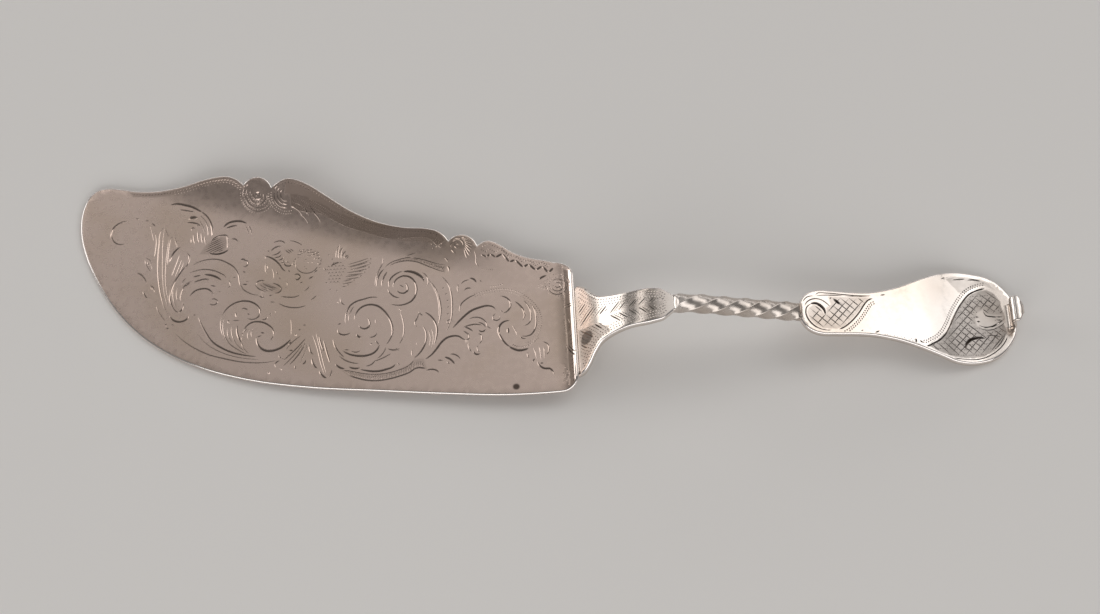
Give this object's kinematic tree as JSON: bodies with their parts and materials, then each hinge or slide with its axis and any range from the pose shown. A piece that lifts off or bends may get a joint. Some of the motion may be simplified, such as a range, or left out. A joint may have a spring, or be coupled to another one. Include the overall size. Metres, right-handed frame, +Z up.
{
  "type": "fish server",
  "caption": "Silver fish server: a broad flat curved blade with a scalloped turned-up back edge, on an arched handle with a twisted stem, a violin-shaped grip and a rolled tip.",
  "frame": {"origin": "on the table that the server lies on, under the middle of its bounding box", "axes": "+X from the blade's nose to the handle's tip, +Y towards the blade's scalloped back, +Z up from the table"},
  "size_m": [0.2832, 0.0776, 0.0262],
  "materials": {
    "blade_silver": "satin coin silver, lightly toned",
    "handle_silver": "polished coin silver"
  },
  "bodies": {
    "root": {"blade": "blade_silver", "handle": "handle_silver"}
  },
  "joints": []
}
